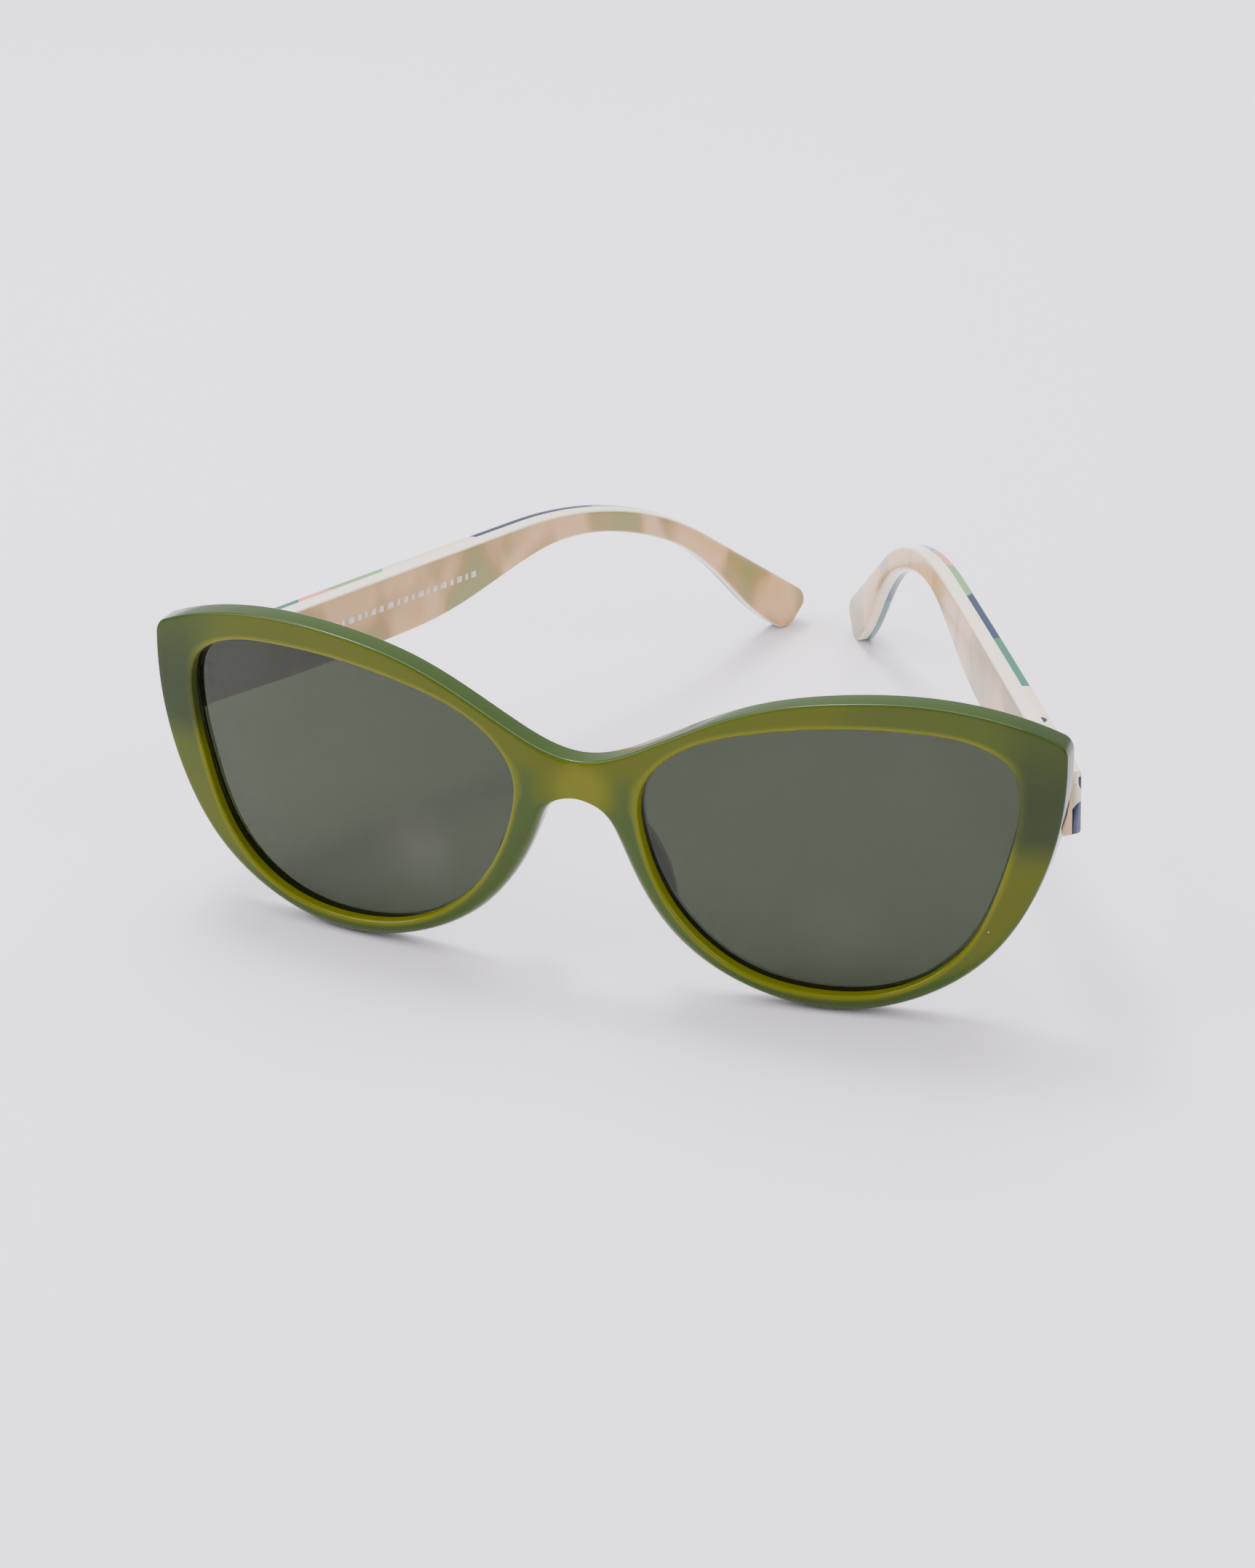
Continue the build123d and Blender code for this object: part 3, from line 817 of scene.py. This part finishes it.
class SUNGLASSES_OT_lenses(bpy.types.Operator):
    """Build both smoke lenses"""
    bl_idname = "sunglasses.lenses"
    bl_label = "Lenses"

    def execute(self, context):
        sizes = millimetres(context.scene.sunglasses.front)
        for side in SIDES:
            build_lens(side, sizes)
        return {"FINISHED"}


class SUNGLASSES_OT_temples(bpy.types.Operator):
    """Build the two sheets of each temple, and the marks printed inside the left one"""
    bl_idname = "sunglasses.temples"
    bl_label = "Temples"

    def execute(self, context):
        own = context.scene.sunglasses
        sizes = millimetres(own.temple)
        for side in SIDES:
            for kind in ("pattern", "core"):
                build_lamina(side, kind, sizes, millimetres(own.front), own.colours)
        build_print("left", sizes)
        return {"FINISHED"}


class SUNGLASSES_OT_hinges(bpy.types.Operator):
    """Finish the hinge leaves and screws"""
    bl_idname = "sunglasses.hinges"
    bl_label = "Hinges"

    def execute(self, context):
        for side in SIDES:
            for stem in ("front_hinge", "temple_hinge", "hinge_screw"):
                finish_node(f"{stem}_{side}", once("nickel_plated_steel", plated_steel))
        return {"FINISHED"}


class SUNGLASSES_OT_stage(bpy.types.Operator):
    """Lay the pale floor, the soft lights and the camera"""
    bl_idname = "sunglasses.stage"
    bl_label = "Studio"

    def execute(self, context):
        lay_floor(CAD_BOX[0][2])
        hang_lights()
        place_camera(context.scene.sunglasses.camera)
        return {"FINISHED"}


def lay_floor(height):
    """A flat board under the frame."""
    work = bmesh.new()
    bmesh.ops.create_grid(work, x_segments=2, y_segments=2, size=FLOOR_REACH)
    mesh = bpy.data.meshes.new("floor")
    work.to_mesh(mesh)
    work.free()
    floor = bpy.data.objects.new("floor", mesh)
    floor.location.z = height
    floor.data.materials.append(studio_board())
    bpy.context.scene.collection.objects.link(floor)


def hang_lights():
    """Four soft lamps turned to the origin, and an even pale room."""
    for name, (place, width, watts) in LAMPS.items():
        light = bpy.data.lights.new(name, "AREA")
        light.size = width
        light.energy = watts
        lamp = bpy.data.objects.new(name, light)
        lamp.location = place
        lamp.rotation_euler = (-Vector(place)).to_track_quat("-Z", "Y").to_euler()
        bpy.context.scene.collection.objects.link(lamp)
    world = bpy.data.worlds.new("room")
    world.use_nodes = True
    backdrop = world.node_tree.nodes["Background"]
    backdrop.inputs["Color"].default_value = linear("EEEDF2")
    backdrop.inputs["Strength"].default_value = ROOM_GLOW
    bpy.context.scene.world = world


def place_camera(place):
    """Makes the camera, turned to its target, and makes it the scene's own."""
    azimuth, elevation, roll = place.azimuth, place.elevation, place.roll
    outward = Vector((math.sin(azimuth) * math.cos(elevation), -math.cos(azimuth) * math.cos(elevation),
                      math.sin(elevation)))
    right = Vector((math.cos(azimuth), math.sin(azimuth), 0))
    up = outward.cross(right)
    tilted = right * math.cos(roll) - up * math.sin(roll)
    data = bpy.data.cameras.new("camera")
    data.lens = place.lens
    data.sensor_width = 36.0
    data.clip_start = 0.01
    camera = bpy.data.objects.new("camera", data)
    turn = Matrix((tilted, outward.cross(tilted), outward)).transposed().to_4x4()
    camera.matrix_world = Matrix.Translation(Vector(place.target) + outward * place.distance) @ turn
    bpy.context.scene.collection.objects.link(camera)
    bpy.context.scene.camera = camera


class SunglassesSettings(bpy.types.PropertyGroup):
    """Everything a user can change"""
    front: PointerProperty(type=FrontSizes)
    temple: PointerProperty(type=TempleSizes)
    colours: PointerProperty(type=AcetateColours)
    camera: PointerProperty(type=CameraPlace)


STEPS = (SUNGLASSES_OT_front, SUNGLASSES_OT_lenses, SUNGLASSES_OT_temples, SUNGLASSES_OT_hinges,
         SUNGLASSES_OT_stage)


class SUNGLASSES_PT_panel(bpy.types.Panel):
    """Sunglasses steps and settings"""
    bl_label = "Sunglasses"
    bl_idname = "SUNGLASSES_PT_panel"
    bl_space_type = "VIEW_3D"
    bl_region_type = "UI"
    bl_category = "Sunglasses"

    def draw(self, context):
        for step in STEPS:
            self.layout.operator(step.bl_idname)
        for group in ("front", "temple", "colours", "camera"):
            box = self.layout.box()
            owner = getattr(context.scene.sunglasses, group)
            for name in owner.bl_rna.properties.keys():
                if name not in ("rna_type", "name"):
                    box.prop(owner, name)


CLASSES = (FrontSizes, TempleSizes, AcetateColours, CameraPlace, SunglassesSettings, *STEPS,
           SUNGLASSES_PT_panel)


def register():
    for cls in CLASSES:
        bpy.utils.register_class(cls)
    bpy.types.Scene.sunglasses = PointerProperty(type=SunglassesSettings)


def unregister():
    del bpy.types.Scene.sunglasses
    for cls in reversed(CLASSES):
        bpy.utils.unregister_class(cls)


def main():
    register()
    bpy.ops.sunglasses.front()
    bpy.ops.sunglasses.lenses()
    bpy.ops.sunglasses.temples()
    bpy.ops.sunglasses.hinges()
    bpy.ops.sunglasses.stage()


if __name__ == "__main__":
    main()
